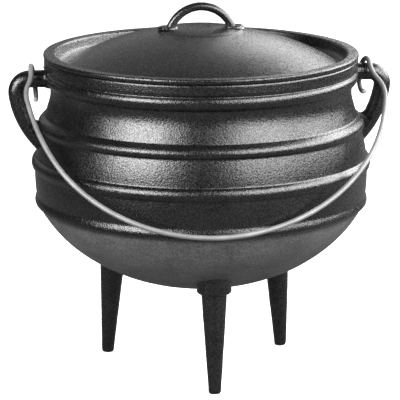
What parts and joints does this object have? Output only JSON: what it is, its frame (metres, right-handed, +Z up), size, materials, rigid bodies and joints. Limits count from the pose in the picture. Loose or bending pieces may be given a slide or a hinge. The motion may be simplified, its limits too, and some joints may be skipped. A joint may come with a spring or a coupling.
{
  "type": "footed cauldron",
  "caption": "Three-legged cast iron cooking pot with a ribbed belly, round bowl, side ears, a swinging wire bail and a dished lid with a loop handle.",
  "frame": {"origin": "on the axis of the pot, in the plane of the feet", "axes": "+Z up, X through both ears along the pivot of the bail, one leg at -Y on the side where the bail hangs"},
  "size_m": [0.328, 0.2923, 0.3173],
  "materials": {
    "iron": "pebbly as-cast skin with a dark seasoning",
    "rod": "steel rod blackened with the casting",
    "wire": "bright drawn steel wire"
  },
  "bodies": {
    "cauldron": {"pot": "iron", "lid": "iron", "lid_handle": "rod"},
    "swinging_bail": {"bail": "wire"}
  },
  "joints": [
    {"name": "bail_swing", "type": "hinge", "parent": "cauldron", "child": "swinging_bail", "pos_m": [0, 0, 0.255], "axis": [-1, 0, 0], "range_deg": [0, 248]}
  ]
}
